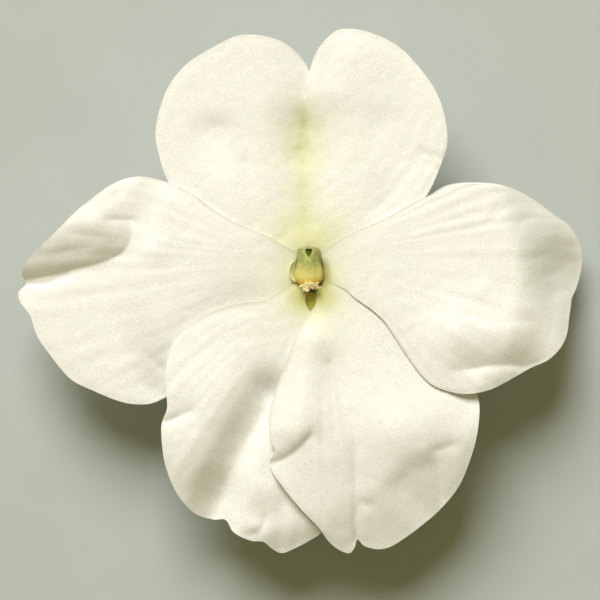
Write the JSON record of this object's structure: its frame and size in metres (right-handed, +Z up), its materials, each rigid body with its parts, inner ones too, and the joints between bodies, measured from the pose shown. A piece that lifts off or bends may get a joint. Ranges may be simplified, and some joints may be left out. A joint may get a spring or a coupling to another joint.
{
  "type": "impatiens flower",
  "caption": "White busy lizzie blossom as picked: flat face of notched petals round a narrow throat with an anther cap, on a short stalk, with a boat-shaped sepal and a long curved spur.",
  "frame": {"origin": "on the surface that the flower lies on, under the middle of its outline", "axes": "+Z up, out of the flower's face; +Y towards the top petal; +X to the flower's right as the face is looked at, along its widest spread"},
  "size_m": [0.0447, 0.0411, 0.0097],
  "materials": {
    "petal": "matte",
    "lower_sepal": "satin",
    "side_sepal": "satin",
    "stalk": "satin",
    "pistil": "satin",
    "anther": "matte",
    "filament": "satin"
  },
  "bodies": {
    "root": {"petal_top": "petal", "petal_upper_left": "petal", "petal_upper_right": "petal", "petal_lower_left": "petal", "petal_lower_right": "petal", "spurred_sepal": "lower_sepal", "lateral_sepal_left": "side_sepal", "lateral_sepal_right": "side_sepal", "pedicel": "stalk", "pistil": "pistil", "anther_cap": "anther", "filament_1": "filament", "filament_2": "filament", "filament_3": "filament", "filament_4": "filament", "filament_5": "filament", "stamen_scale_left": "filament", "stamen_scale_right": "filament"}
  },
  "joints": []
}
